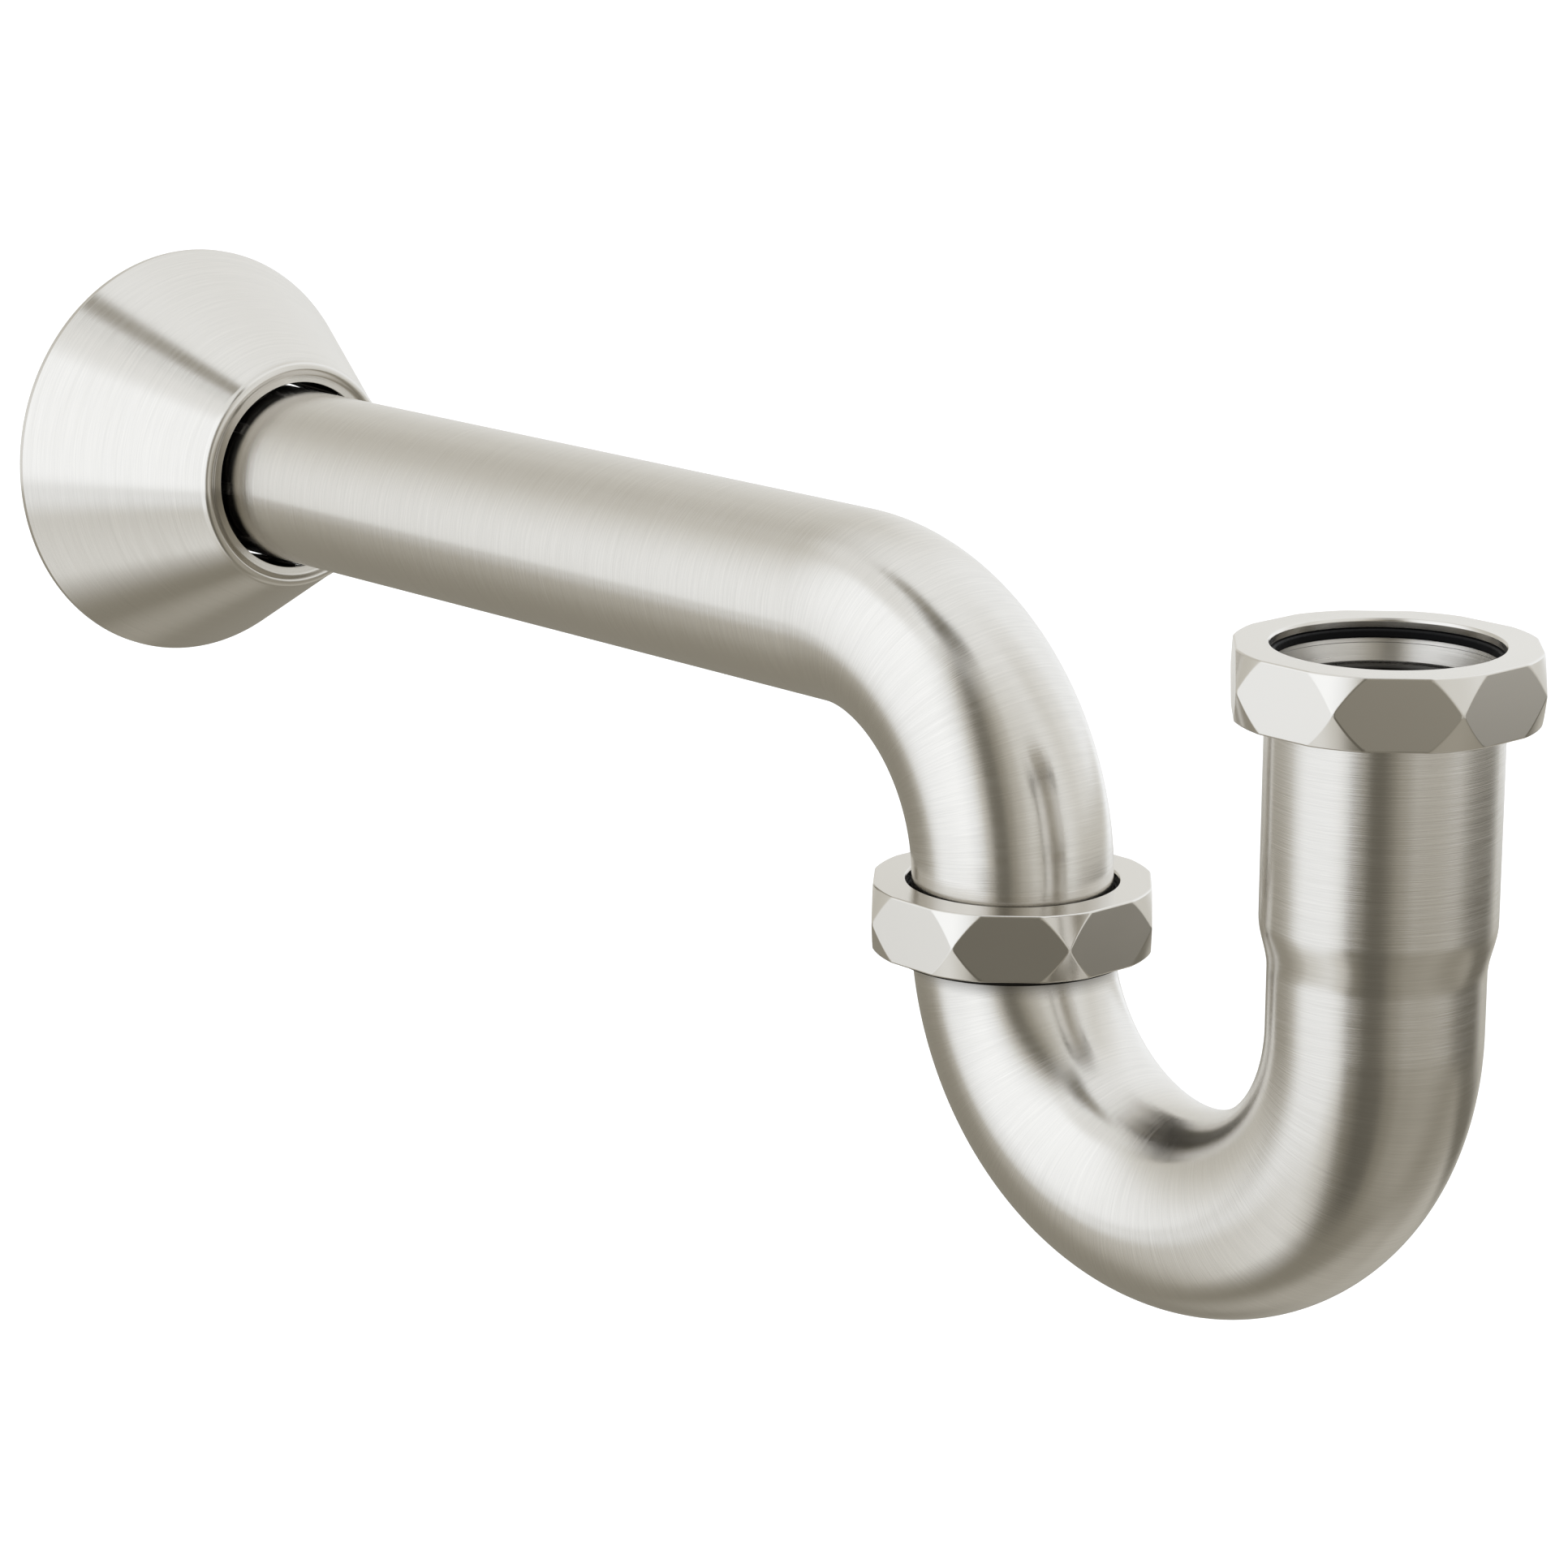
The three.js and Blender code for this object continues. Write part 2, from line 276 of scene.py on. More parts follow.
def shaped_row(centre_x, angles, r, z, normal_r, normal_turn, normal_z, along):
    """A row about a vertical axis whose radius, height and normal change round it."""
    out = np.column_stack([np.cos(angles), np.sin(angles), np.zeros_like(angles)])
    round_ = np.column_stack([-np.sin(angles), np.cos(angles), np.zeros_like(angles)])
    normals = normal_r[:, None] * out + normal_turn[:, None] * round_ + normal_z[:, None] * [0, 0, 1]
    normals /= np.linalg.norm(normals, axis=1)[:, None]
    points = r[:, None] * out + np.column_stack([np.full_like(r, centre_x), np.zeros_like(r), z])
    brush = np.column_stack([along, r * np.cos(angles), r * np.sin(angles)])
    return Row(points, normals, float(np.mean(along)), brush)


def lattice(rows, ring):
    """Faces between rows, with a UV for each of their corners."""
    around = len(rows[0].points)
    faces = []
    uvs = []
    for i in range(len(rows) if ring else len(rows) - 1):
        j = (i + 1) % len(rows)
        low = rows[i].along
        high = rows[j].along if j else low + MM
        for k in range(around):
            n = (k + 1) % around
            faces.append((i * around + k, i * around + n, j * around + n, j * around + k))
            uvs += [(low, k / around), (low, (k + 1) / around), (high, (k + 1) / around), (high, k / around)]
    if not ring:
        last = (len(rows) - 1) * around
        faces += [tuple(range(around - 1, -1, -1)), tuple(range(last, last + around))]
        uvs += [(0, k / around) for k in range(2 * around)]
    return faces, uvs


def put(mesh, label, kind, field, rows):
    """Rows of values as an attribute of the mesh's vertices."""
    attribute = mesh.attributes.new(label, kind, "POINT")
    attribute.data.foreach_set(field, np.concatenate(rows).astype(np.float32).ravel())


def mend(mesh):
    """Merges vertices in one place, and turns the faces the way that their normals say."""
    work = bmesh.new()
    work.from_mesh(mesh)
    bmesh.ops.remove_doubles(work, verts=work.verts, dist=SAME_PLACE)
    facing = work.verts.layers.float_vector["facing"]
    sample = max(work.faces, key=lambda face: face.calc_area())
    if sample.normal.dot(sample.verts[0][facing]) < 0:
        bmesh.ops.reverse_faces(work, faces=work.faces)
    work.to_mesh(mesh)
    work.free()


def skin(name, rows, body, node, material, ring=True):
    """A mesh over rows that go round. The last row joins the first, or else both ends are capped."""
    faces, uvs = lattice(rows, ring)
    mesh = bpy.data.meshes.new(name)
    mesh.from_pydata(np.concatenate([row.points for row in rows]).tolist(), [], faces)
    mesh.uv_layers.new(name="brush").data.foreach_set("uv", np.array(uvs, np.float32).ravel())
    put(mesh, "brush_at", "FLOAT_VECTOR", "vector", [row.brush for row in rows])
    put(mesh, "facing", "FLOAT_VECTOR", "vector", [row.normals for row in rows])
    put(mesh, "bare_and_shade", "FLOAT", "value", [np.broadcast_to(row.bare_and_shade, len(row.points)) for row in rows])
    mend(mesh)
    normals = np.zeros(len(mesh.vertices) * 3, np.float32)
    mesh.attributes["facing"].data.foreach_get("vector", normals)
    mesh.attributes.remove(mesh.attributes["facing"])
    mesh.shade_smooth()
    if ring:
        mesh.normals_split_custom_set_from_vertices(normals.reshape(-1, 3).tolist())
    mesh.materials.append(material)
    piece = bpy.data.objects.new(name, mesh)
    bpy.context.scene.collection.objects.link(piece)
    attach(piece, body)
    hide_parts(node)


# Materials ---------------------------------------------------------------------------------------------


class Nodes:
    """Short ways to add and join shader nodes."""

    def __init__(self, owner):
        self.tree = owner.node_tree

    def add(self, kind, **settings):
        node = self.tree.nodes.new(kind)
        for key, value in settings.items():
            setattr(node, key, value)
        return node

    def join(self, source, target):
        self.tree.links.new(source, target)

    def scaled(self, source, factors):
        node = self.add("ShaderNodeVectorMath", operation="MULTIPLY")
        node.inputs[1].default_value = factors
        self.join(source, node.inputs[0])
        return node.outputs[0]

    def noise(self, vector, detail, roughness=0.5):
        node = self.add("ShaderNodeTexNoise")
        node.inputs["Scale"].default_value = 1
        node.inputs["Detail"].default_value = detail
        node.inputs["Roughness"].default_value = roughness
        self.join(vector, node.inputs["Vector"])
        return node.outputs["Fac"]

    def ranged(self, source, low, high, to_low, to_high):
        node = self.add("ShaderNodeMapRange")
        for index, value in enumerate((low, high, to_low, to_high), start=1):
            node.inputs[index].default_value = value
        self.join(source, node.inputs[0])
        return node.outputs[0]

    def bump(self, height, strength, distance, normal=None):
        node = self.add("ShaderNodeBump")
        node.inputs["Strength"].default_value = strength
        node.inputs["Distance"].default_value = distance
        self.join(height, node.inputs["Height"])
        if normal is not None:
            self.join(normal, node.inputs["Normal"])
        return node.outputs["Normal"]

    def maths(self, operation, *values):
        """A maths node, with a number or another node's output for each value."""
        node = self.add("ShaderNodeMath", operation=operation)
        for socket, value in zip(node.inputs, values):
            if isinstance(value, (int, float)):
                socket.default_value = value
            else:
                self.join(value, socket)
        return node.outputs[0]

    def blend(self, share, first, second):
        """A colour, from first where share is 0 to second where it is 1."""
        node = self.add("ShaderNodeMix", data_type="RGBA")
        self.join(share, node.inputs["Factor"])
        for socket, value in ((node.inputs["A"], first), (node.inputs["B"], second)):
            if isinstance(value, tuple):
                socket.default_value = (*value[:3], 1)
            else:
                self.join(value, socket)
        return node.outputs["Result"]


def new_material(name, metallic, roughness):
    material = bpy.data.materials.new(name)
    material.use_nodes = True
    shader = material.node_tree.nodes["Principled BSDF"]
    shader.inputs["Metallic"].default_value = metallic
    shader.inputs["Roughness"].default_value = roughness
    return material, Nodes(material), shader


def brushed_nickel(name, tint, roughness, anisotropy, lines, line_length):
    """Nickel plate with fine brush lines round the piece, and dull dark metal where it is bare and where
    shade is painted.

    lines is how deep they read, and line_length is how far one runs, in metres.
    """
    material, nodes, shader = new_material(name, 1.0, roughness)
    place = nodes.add("ShaderNodeAttribute", attribute_name="brush_at").outputs["Vector"]
    bare_and_shade = nodes.add("ShaderNodeAttribute", attribute_name="bare_and_shade").outputs["Fac"]
    turns = 1 / line_length
    hair = nodes.noise(nodes.scaled(place, (1 / (0.16 * MM), turns, turns)), 3, 0.65)
    stroke = nodes.noise(nodes.scaled(place, (1 / (0.8 * MM), turns * 0.7, turns * 0.7)), 2)
    cloud = nodes.noise(nodes.scaled(place, (1 / (22 * MM), 40, 40)), 2)
    normal = nodes.bump(stroke, 0.3 * lines, 0.03 * MM)
    normal = nodes.bump(hair, 0.9 * lines, 0.012 * MM, normal)
    nodes.join(normal, shader.inputs["Normal"])
    scratch = tuple((1 - 0.08 * lines) * c for c in tint)
    worn = nodes.blend(nodes.ranged(hair, 0.3, 0.7, 0, 1), scratch, tint)
    # painted shade and unplated metal both take the near-black colour here
    nodes.join(nodes.blend(bare_and_shade, worn, SHADE_AND_BARE_METAL), shader.inputs["Base Color"])
    gloss = nodes.maths("MULTIPLY", nodes.ranged(cloud, 0.3, 0.7, 0.93 * roughness, 1.07 * roughness),
                        nodes.ranged(stroke, 0.3, 0.7, 1 - 0.15 * lines, 1 + 0.15 * lines))
    dulled = nodes.maths("MULTIPLY_ADD", nodes.maths("ABSOLUTE", bare_and_shade), BARE_ROUGHNESS, gloss)
    nodes.join(dulled, shader.inputs["Roughness"])
    shader.inputs["Anisotropic"].default_value = anisotropy
    tangent = nodes.add("ShaderNodeTangent", direction_type="UV_MAP", uv_map="brush")
    nodes.join(tangent.outputs["Tangent"], shader.inputs["Tangent"])
    return material


def moulded_rubber(name):
    material, nodes, shader = new_material(name, 0.0, 0.6)
    place = nodes.add("ShaderNodeTexCoord").outputs["Object"]
    grain = nodes.noise(nodes.scaled(place, (3000, 3000, 3000)), 3)
    nodes.join(nodes.bump(grain, 0.3, 0.02 * MM), shader.inputs["Normal"])
    shader.inputs["Base Color"].default_value = (0.004, 0.004, 0.0045, 1)
    shader.inputs["Specular IOR Level"].default_value = 0.2
    nodes.join(nodes.ranged(grain, 0.3, 0.7, 0.5, 0.7), shader.inputs["Roughness"])
    return material


NICKEL = (0.70, 0.675, 0.63)
SPRING_STEEL = (0.7, 0.7, 0.7)
# near-black colour for unplated metal and for painted shade
SHADE_AND_BARE_METAL = (0.02, 0.018, 0.016)
BARE_ROUGHNESS = 0.35
tube_finish = brushed_nickel("tube nickel", NICKEL, 0.19, 0.6, 1.0, 10 * MM)
flange_finish = brushed_nickel("flange nickel", NICKEL, 0.19, 0.6, 0.8, 14 * MM)
nut_finish = brushed_nickel("nut nickel", NICKEL, 0.19, 0.2, 0.06, 9 * MM)
collar_finish = brushed_nickel("collar nickel", NICKEL, 0.3, 0.0, 0.1, 9 * MM)
spring_finish = brushed_nickel("spring steel", SPRING_STEEL, 0.2, 0.3, 0.2, 9 * MM)
rubber_finish = moulded_rubber("black rubber")

# Tubes -------------------------------------------------------------------------------------------------


def make_wall_tube():
    path = Path(WALL_END_X, 0, 0).straight(OUTLET_X - BEND_R - WALL_END_X).bend(BEND_R, -math.pi / 2)
    end = path.length - (LEG_END_Z - path.z)
    path.straight(end - path.length)
    bore = TUBE_R - TUBE_WALL
    profile = rounded([(TUBE_R, 0, TUBE_EDGE), (TUBE_R, end, TUBE_EDGE),
                       (bore, end, TUBE_EDGE), (bore, 0, TUBE_EDGE)])

    def bare_and_shade(normal_r, s, z):
        """Dark on all of the bore but its ends: unplated metal, and painted shade inside the tube."""
        return float(normal_r < FACES_IN and UNSHADED_BORE_ENDS < s < end - UNSHADED_BORE_ENDS)

    rows = swept(divided(profile, path, STEP, STEP), path, AROUND, bare_and_shade)
    skin("wall_tube_skin", rows, "wall_tube", "wall_tube", tube_finish)


def make_j_bend():
    path = Path(OUTLET_X, J_START_Z, -math.pi / 2).bend(BEND_R, math.pi)
    level = path.length - J_START_Z  # distance along the path, less the height, on the inlet leg
    path.straight(1)

    def swage(inset):
        """The widening to the socket."""
        waves = [(1 - math.cos(math.pi * k / SWAGE_STEPS)) / 2 for k in range(SWAGE_STEPS + 1)]
        return [(TUBE_R - inset + (SOCKET_R - TUBE_R) * wave,
                 level + SWAGE_LOW + (SWAGE_HIGH - SWAGE_LOW) * k / SWAGE_STEPS)
                for k, wave in enumerate(waves)]

    bore = SOCKET_R - TUBE_WALL
    top = level + SOCKET_TOP
    funnel_end = top - MOUTH_DEPTH
    step = top - MOUTH_STEP_DEPTH
    profile = rounded([
        (TUBE_R, 0, TUBE_EDGE), *swage(0), (SOCKET_R, top, 0.15 * MM),
        (bore + 0.9 * MM, top, 0.1 * MM), (bore + 0.73 * MM, step, 0.05 * MM),
        (bore + 0.65 * MM, step - 0.06 * MM, 0.05 * MM), (bore, funnel_end, 0.2 * MM),
        *reversed(swage(TUBE_WALL)), (TUBE_R - TUBE_WALL, 0, TUBE_EDGE),
    ])
    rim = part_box("outlet_collar")[0].z

    def bare_and_shade(normal_r, s, z):
        """Dark on all of the bore but the funnel: unplated metal, and painted shade down the socket. Dull
        plate in the funnel, and a faint band of painted shade outside under the outlet collar.
        """
        if normal_r < FACES_IN:
            # the bore below the funnel is painted dark, as painted shade
            return 1.0 if s < funnel_end - 0.1 * MM else -0.3
        if s > level / 2:
            return 0.0
        # painted shade under the outlet collar, fainter further down
        return 0.45 * np.clip(1.4 - (rim - z) / COLLAR_SHADE_BAND, 0, 1)

    rows = swept(divided(profile, path, FINE_STEP, STEP), path, AROUND, bare_and_shade)
    skin("j_bend_skin", rows, "j_bend", "j_bend", tube_finish)


# Wall flange -------------------------------------------------------------------------------------------


def make_wall_flange():
    bead_r, bead_x = FLANGE_NECK_R - BEAD_R - 0.15 * MM, FLANGE_NECK_X + 0.2 * MM
    angles = [math.radians(a) for a in range(10, 91, 10)]
    bead = [(bead_r + BEAD_R * math.cos(a), bead_x + BEAD_R * math.sin(a)) for a in angles]
    crest_r, crest_x = bead[-1]
    fall = crest_x - FLANGE_FACE_X
    bead += [(crest_r - BEAD_FALL * k / BEAD_STEPS,
              FLANGE_FACE_X + fall * (1 + math.cos(math.pi * k / BEAD_STEPS)) / 2)
             for k in range(1, BEAD_STEPS + 1)]
    slope = (FLANGE_RIM_R - FLANGE_NECK_R) / (FLANGE_NECK_X - FLANGE_LIP)
    inside_neck = FLANGE_NECK_R - 1.2 * FLANGE_SHEET
    face_back = FLANGE_FACE_X - FLANGE_SHEET
    profile = rounded([
        (FLANGE_RIM_R, 0, 0.2 * MM), (FLANGE_RIM_R, FLANGE_LIP, 0.25 * MM),
        (FLANGE_NECK_R, FLANGE_NECK_X, 0.15 * MM), *bead,
        (FLANGE_HOLE_R, FLANGE_FACE_X, 0.12 * MM), (FLANGE_HOLE_R, face_back, 0.1 * MM),
        (inside_neck - 0.6 * MM, face_back, 0.3 * MM),
        (inside_neck + 0.7 * MM * slope, FLANGE_NECK_X - 0.7 * MM, 0.5 * MM),
        (inside_neck + slope * FLANGE_NECK_X, 0, 0.1 * MM),
    ])
    path = Path(0, 0, 0).straight(1)

    def bare_and_shade(normal_r, x, z):
        """Dark on all of the inside, up to the back of the turned-in face: painted shade in the flange's
        hollow, on metal taken as unplated.
        """
        return float(normal_r < 0.01 and 0.3 * MM < x < face_back + 0.1 * MM)

    rows = swept(divided(profile, path, FLANGE_STEP, FLANGE_STEP), path, AROUND_FLANGE, bare_and_shade)
    skin("wall_flange_skin", rows, "wall_flange", "wall_flange", flange_finish)


def make_rubber_ring(node, hole, body):
    """A ring about the arm, or about a vertical axis."""
    low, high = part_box(node)
    if size(node).x < size(node).z:
        axis, start, end = Path(0, 0, 0), low.x, high.x
    else:
        axis, start, end = upright(middle(node).x), low.z, high.z
    outer = size(node).y / 2
    profile = rounded([(hole, start, RUBBER_EDGE), (outer, start, RUBBER_EDGE),
                       (outer, end, RUBBER_EDGE), (hole, end, RUBBER_EDGE)])
    skin(f"{node}_skin", swept(profile, axis.straight(1), AROUND), body, node, rubber_finish)


def make_flange_spring():
    """Strip bent to a polygon with round corners, with a slit at the middle of one side.

    It keeps the steel colour at its corners only; elsewhere it is painted dark, as painted shade in the
    flange's gap.
    """
    low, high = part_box("flange_spring_ring")
    apothem = TUBE_R + RING_CLEARANCE + SPRING_SHEET / 2
    half = math.pi / SPRING_SIDES
    centre = (apothem - SPRING_CORNER_R) / math.cos(half)
    start = SPRING_TURN - math.pi / 2
    corners = []
    for side in range(SPRING_SIDES):
        corner = start + 2 * half * side + half
        # shares past 0.5 lie on the sides, which are painted dark as painted shade
        for share in (-1, -0.75, -0.5, -0.25, 0, 0.25, 0.5, 0.75, 1):
            lean = corner + half * share
            corners.append((centre * math.cos(corner) + SPRING_CORNER_R * math.cos(lean),
                            centre * math.sin(corner) + SPRING_CORNER_R * math.sin(lean), lean,
                            float(abs(share) > 0.5)))

    def slit_end(off):
        return (apothem * math.cos(start) - off * math.sin(start),
                apothem * math.sin(start) + off * math.cos(start), start, 1.0)

    stations = [slit_end(SPRING_SLIT / 2), *corners, slit_end(-SPRING_SLIT / 2)]
    inner, outer = -SPRING_SHEET / 2, SPRING_SHEET / 2
    section = rounded([(inner, low.x, SPRING_EDGE), (outer, low.x, SPRING_EDGE),
                       (outer, high.x, SPRING_EDGE), (inner, high.x, SPRING_EDGE)], 3)
    ahead = np.array([1, 0, 0])
    rows = []
    for i, (y, z, lean, bare_and_shade) in enumerate(stations):
        out = np.array([0, math.cos(lean), math.sin(lean)])
        points = section[:, 1:2] * ahead + np.array([0, y, z]) + section[:, 0:1] * out
        normals = section[:, 3:4] * ahead + section[:, 2:3] * out
        brush = np.column_stack([section[:, 1], np.full(len(section), y), np.full(len(section), z)])
        rows.append(Row(points, normals, i * MM, brush, bare_and_shade))
    skin("flange_spring_skin", rows, "flange_spring", "flange_spring_ring", spring_finish,
         ring=False)


# Slip joints -------------------------------------------------------------------------------------------


def slopes(surface, angles, height):
    """A surface's radius, and how much it grows per metre round and per metre up."""
    r = surface(angles, height)
    turned_by = surface(angles + TINY_TURN, height) - surface(angles - TINY_TURN, height)
    raised_by = surface(angles, height + TINY) - surface(angles, height - TINY)
    return r, turned_by / (2 * TINY_TURN) / r, raised_by / (2 * TINY)


def soft_least(a, b, width):
    """The smaller of two values, with a round blend where they are within width of each other."""
    near = np.maximum(width - np.abs(a - b), 0) / width
    return np.minimum(a, b) - near * near * width / 4


def flat_radius(angles):
    """Radius of the nut's flats."""
    wedge = 2 * math.pi / NUT_SIDES
    off_flat = np.mod(angles + wedge / 2, wedge) - wedge / 2
    return NUT_FLAT_R / np.cos(off_flat)


def nut_side(angles, height):
    """Radius of the nut's side, with height measured from its middle."""
    cone = NUT_CORNER_R - (NUT_CORNER_R - NUT_FACE_R) * np.abs(height) / (NUT_H / 2)
    return soft_least(flat_radius(angles), cone, NUT_RIDGE)


def nut_crossing(angles):
    """Height above the middle at which the cone cuts the flat."""
    return (NUT_CORNER_R - flat_radius(angles)) / (NUT_CORNER_R - NUT_FACE_R) * NUT_H / 2


def make_slip_nut(prefix):
    node = f"{prefix}_slip_nut"
    centre = middle(node)
    low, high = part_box(node)
    angles = all_round(NUT_SIDES * AROUND_NUT_SIDE)
    same = np.ones(len(angles))
    reach = NUT_H / 2 - NUT_EDGE

    def side_row(height, tilt=0.0):
        """A row up the side, or at an angle round the rounded edge of a face."""
        r, slope_turn, slope_up = slopes(nut_side, angles, height)
        length = np.sqrt(1 + slope_turn ** 2 + slope_up ** 2)
        lift, keep = math.sin(tilt), math.cos(tilt)
        z = centre.z + height + NUT_EDGE * lift
        return shaped_row(centre.x, angles, r - NUT_EDGE * (1 - keep), z, keep / length,
                          -keep * slope_turn / length, -keep * slope_up / length + lift, z)

    crossing = np.clip(nut_crossing(angles), 0, reach)
    ridge = [np.clip(-crossing + 0.35 * MM * u, -reach, 0) for u in (-1, -0.5, -0.2, 0, 0.2, 0.5, 1)]
    cone = [-reach * (1 - u) + ridge[0] * u for u in (0.35, 0.7)]
    upper_ridge = [-row for row in reversed(ridge)]
    flat = [ridge[-1] * (1 - u) + upper_ridge[0] * u for u in (0.25, 0.5, 0.75)]
    upper_cone = [-row for row in reversed(cone)]
    tilts = [math.pi / 2 * k / CORNER_STEPS for k in range(CORNER_STEPS + 1)]
    rows = [side_row(-reach * same, -tilt) for tilt in reversed(tilts)]
    rows += [side_row(height) for height in (*cone, *ridge, *flat, *upper_ridge, *upper_cone)]
    rows += [side_row(reach * same, tilt) for tilt in tilts]

    outer_rows = 2 * (CORNER_STEPS + 1)  # the profile's first two corners, which the rows above already make
    lip = high.z - NUT_LIP
    profile = rounded([
        (NUT_FACE_R, low.z, NUT_EDGE), (NUT_FACE_R, high.z, NUT_EDGE),
        (NUT_HOLE_R + NUT_MOUTH, high.z, 0.2 * MM), (NUT_HOLE_R, high.z - 1.6 * NUT_MOUTH, 0.5 * MM),
        (NUT_HOLE_R, lip, 0.15 * MM), (NUT_THREAD_R, lip, 0.2 * MM),
        (NUT_THREAD_R, low.z + 0.5 * MM, 0.1 * MM), (NUT_THREAD_R + 0.5 * MM, low.z, 0.1 * MM),
    ])
    for r, z, normal_r, normal_z in profile[outer_rows:]:
        rows.append(shaped_row(centre.x, angles, r * same, z * same, normal_r * same, 0 * same,
                               normal_z * same, (NUT_H + NUT_FACE_R - r) * same))
    skin(f"{prefix}_slip_nut_skin", rows, f"{prefix}_nut", node, nut_finish)


def make_collar(prefix):
    """Ring with a right-hand thread outside, and dark at its lower edge: bare metal, and painted shade under
    the nut.
    """
    node = f"{prefix}_collar"
    centre = middle(node)
    bottom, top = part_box(node)[0].z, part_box(node)[1].z
    crest = size(node).y / 2
    angles = all_round(AROUND_COLLAR)
    same = np.ones(AROUND_COLLAR)

    def thread(turn, z):
        wave = 0.5 + 0.5 * np.cos(2 * math.pi * (z / THREAD_PITCH - turn / (2 * math.pi)))
        from_end = np.minimum(z - bottom, top - z) / COLLAR_CHAMFER
        limit = crest - COLLAR_CHAMFER + COLLAR_CHAMFER * np.clip(from_end, 0, 1)
        fade = np.clip((z - bottom - COLLAR_LAND) / THREAD_PITCH, 0, 1)
        return np.minimum(crest - THREAD_DEPTH * wave * fade, limit)

    rows = []
    count = int((top - bottom) / THREAD_STEP)
    for k in range(count + 1):
        z = bottom + (top - bottom) * k / count
        r, slope_turn, slope_up = slopes(thread, angles, z)
        row = shaped_row(centre.x, angles, r, z * same, same, -slope_turn, -slope_up, z * same)
        # the lower chamfer is painted dark, as painted shade under the nut
        row.bare_and_shade = float(z < bottom + 1.1 * COLLAR_CHAMFER)
        rows.append(row)
    if prefix == "outlet":
        close, wide = TUBE_R + 0.1 * MM, TUBE_R + 0.7 * MM  # the J-bend starts inside it, and turns away
        bore = ((close, top), (close, J_START_Z + 0.5 * MM), (wide, J_START_Z), (wide, bottom))
    else:
        bore = ((SOCKET_R + 0.1 * MM, top), (SOCKET_R + 0.1 * MM, bottom))
    for r, z in bore:
        rows.append(shaped_row(centre.x, angles, r * same, z * same, -same, 0 * same, 0 * same, z * same))
    skin(f"{prefix}_collar_skin", rows, "j_bend", node, collar_finish)


make_wall_tube()
make_j_bend()
make_wall_flange()
make_rubber_ring("flange_seal", TUBE_R + RING_CLEARANCE, "wall_flange")
make_flange_spring()
for joint in ("outlet", "inlet"):
    make_slip_nut(joint)
    make_collar(joint)
    make_rubber_ring(f"{joint}_washer", WASHER_HOLE_R, f"{joint}_washer")

# Studio ------------------------------------------------------------------------------------------------

# Where the camera is comes from a fit to the outline in the photo.
CAMERA_AT = (705.46 * MM, -477.77 * MM, 153.96 * MM)
CAMERA_TURN = math.radians(48.256)
CAMERA_DOWN = math.radians(14.597)
CAMERA_LENS = 102.95
CAMERA_SENSOR = 36

FLOOR_Z = -0.5
FLOOR_REACH = 60.0


def make_camera():
    camera = bpy.data.objects.new("camera", bpy.data.cameras.new("camera"))
    camera.data.lens = CAMERA_LENS
    camera.data.sensor_width = CAMERA_SENSOR
    camera.data.clip_start = 0.01
    camera.location = CAMERA_AT
    camera.rotation_euler = (math.pi / 2 - CAMERA_DOWN, 0, CAMERA_TURN)
    bpy.context.scene.collection.objects.link(camera)
    bpy.context.scene.camera = camera


def make_floor():
    mesh = bpy.data.meshes.new("floor")
    corners = [(-1, -1), (1, -1), (1, 1), (-1, 1)]
    mesh.from_pydata([(x * FLOOR_REACH, y * FLOOR_REACH, FLOOR_Z) for x, y in corners], [], [(0, 1, 2, 3)])
    material, nodes, shader = new_material("floor", 0.0, 0.9)
    shader.inputs["Base Color"].default_value = (0.9, 0.9, 0.9, 1)
    shader.inputs["Emission Color"].default_value = (1, 1, 1, 1)
    shader.inputs["Emission Strength"].default_value = 0.3
    mesh.materials.append(material)
    floor = bpy.data.objects.new("floor", mesh)
    bpy.context.scene.collection.objects.link(floor)
    floor.visible_glossy = False


# How bright the room is at each turn from +X, in degrees: a big soft box, a dark gap beside it, and pale
# walls. The second list is the dimmer floor of the room. Heights are sines of the angle above level. These
# numbers and the patches were typed to follow the reflections measured in the photo.
ROOM = (
    (-180, 0.66), (-165, 0.72), (-150, 0.88), (-138, 1.14), (-125, 1.32), (-92, 1.36), (-80, 1.22),
    (-75, 1.06), (-67, 0.66), (-59, 0.22), (-50, 0.20), (-41, 0.38), (-30, 0.60), (-15, 0.86),
    (0, 0.92), (25, 1.00), (45, 0.90), (60, 1.00), (85, 1.16), (110, 1.14), (125, 1.00),
    (140, 0.86), (155, 0.78), (170, 0.70),
)
ROOM_FLOOR = (
    (-180, 0.34), (-160, 0.38), (-145, 0.56), (-130, 0.86), (-105, 1.00), (-90, 0.80), (-75, 0.26),
    (-60, 0.15), (-45, 0.16), (-30, 0.30), (-15, 0.40), (10, 0.44), (40, 0.36), (60, 0.42),
    (90, 0.60), (115, 0.52), (140, 0.30), (160, 0.32),
)
HORIZON = -0.25
HORIZON_BLUR = 0.03
ZENITH = 1.1
ZENITH_FROM, ZENITH_TO = 0.7, 0.98
NADIR = 0.30
NADIR_FROM, NADIR_TO = -0.84, -0.97

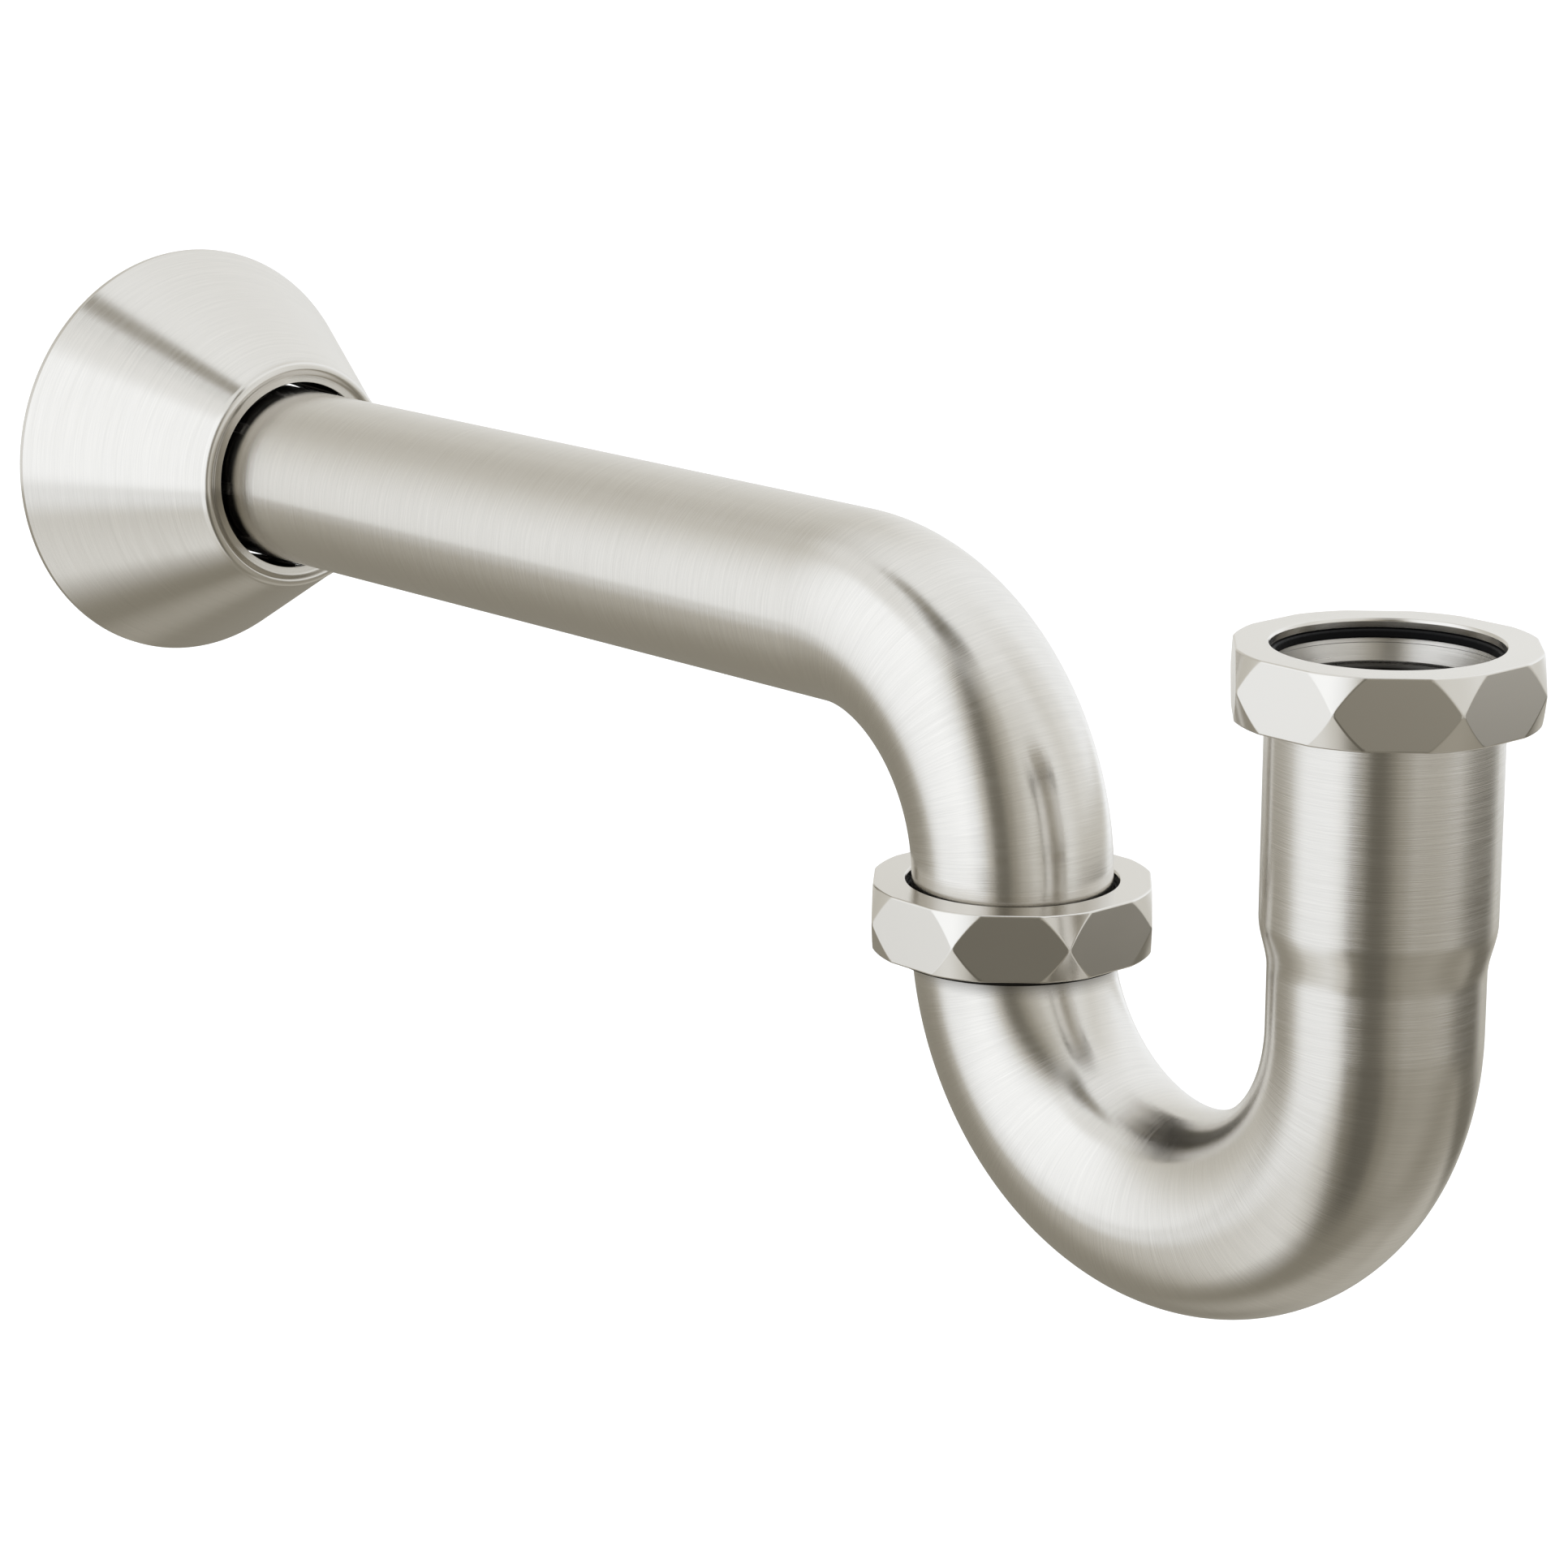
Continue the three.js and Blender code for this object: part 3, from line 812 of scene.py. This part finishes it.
# Soft patches on top: (turn, height, half width, half height, brightness), in degrees but for the last.
PATCHES = (
    (-112, -20, 26, 8, 1.18),  # the soft box's lower edge
    (-128, 58, 24, 9, 1.03),  # its upper edge
    (-98, 74, 13, 5, 0.38),  # the gap over it, two patches
    (-58, 67, 12, 7, 0.20),
    (2, -2, 18, 10, 0.64),  # shade along the foot of the far wall, four patches
    (66, -6, 34, 8, 0.74),
    (62, -18, 24, 5.5, 0.16),
    (86, -28, 22, 7, 0.21),
    (100, -72, 25, 14, 0.52),  # pale floor under the far side
)
PATCH_FULL, PATCH_GONE = 0.6, 1.4  # where a patch starts to fade and ends, as shares of its half size
LEAST_DEPTH = 0.01  # keeps a patch from showing behind


def room_colour(level):
    """Warm where it is dark, neutral where it is bright."""
    share = min(max((level - 0.3) / 0.9, 0), 1)
    return level, level * (0.938 + 0.098 * share), level * (0.783 + 0.307 * share)


def room_band(nodes, turn, levels):
    """The colour at each turn, from 0 at -180 degrees to 1 at 180."""
    ramp = nodes.add("ShaderNodeValToRGB")
    ramp.color_ramp.interpolation = "EASE"
    stops = ramp.color_ramp.elements
    stops[1].position = 1
    stops[0].color = stops[1].color = (*room_colour(levels[0][1]), 1)
    for degrees, level in levels[1:]:
        stops.new((degrees + 180) / 360).color = (*room_colour(level), 1)
    nodes.join(turn, ramp.inputs[0])
    return ramp.outputs["Color"]


def room_patch(nodes, place, colour, turn, height, half_width, half_height, level):
    """The same colour with an oval patch on it, which fades at its edge."""
    turn, height = math.radians(turn), math.radians(height)
    ahead = Vector((math.cos(height) * math.cos(turn), math.cos(height) * math.sin(turn), math.sin(height)))
    across = Vector((-math.sin(turn), math.cos(turn), 0)) / math.tan(math.radians(half_width))
    upward = ahead.cross(across).normalized() / math.tan(math.radians(half_height))
    parts = []
    for axis in (across, upward, ahead):
        part = nodes.add("ShaderNodeVectorMath", operation="DOT_PRODUCT")
        part.inputs[1].default_value = axis
        nodes.join(place, part.inputs[0])
        parts.append(part.outputs["Value"])
    offset = nodes.add("ShaderNodeCombineXYZ")
    nodes.join(parts[0], offset.inputs[0])
    nodes.join(parts[1], offset.inputs[1])
    length = nodes.add("ShaderNodeVectorMath", operation="LENGTH")
    nodes.join(offset.outputs[0], length.inputs[0])
    depth = nodes.maths("MAXIMUM", parts[2], LEAST_DEPTH)
    reach = nodes.maths("DIVIDE", length.outputs["Value"], depth)
    return nodes.blend(nodes.ranged(reach, PATCH_FULL, PATCH_GONE, 1, 0), colour, room_colour(level))


def make_world():
    world = bpy.data.worlds.new("studio")
    bpy.context.scene.world = world
    world.use_nodes = True
    nodes = Nodes(world)
    place = nodes.add("ShaderNodeTexCoord").outputs["Generated"]
    parts = nodes.add("ShaderNodeSeparateXYZ")
    nodes.join(place, parts.inputs[0])
    turn = nodes.maths("ARCTAN2", parts.outputs["Y"], parts.outputs["X"])
    turn = nodes.ranged(turn, -math.pi, math.pi, 0, 1)
    height = parts.outputs["Z"]
    walls = room_band(nodes, turn, ROOM)
    ground = room_band(nodes, turn, ROOM_FLOOR)
    colour = nodes.blend(nodes.ranged(height, HORIZON - HORIZON_BLUR, HORIZON + HORIZON_BLUR, 0, 1),
                         ground, walls)
    colour = nodes.blend(nodes.ranged(height, ZENITH_FROM, ZENITH_TO, 0, 1), colour, room_colour(ZENITH))
    colour = nodes.blend(nodes.ranged(height, NADIR_FROM, NADIR_TO, 0, 1), colour, room_colour(NADIR))
    for patch in PATCHES:
        colour = room_patch(nodes, place, colour, *patch)
    seen = nodes.add("ShaderNodeLightPath").outputs["Is Camera Ray"]
    background = world.node_tree.nodes["Background"]
    nodes.join(nodes.blend(seen, colour, (1, 1, 1)), background.inputs["Color"])


make_camera()
make_floor()
make_world()
bpy.context.scene.view_settings.view_transform = "Standard"
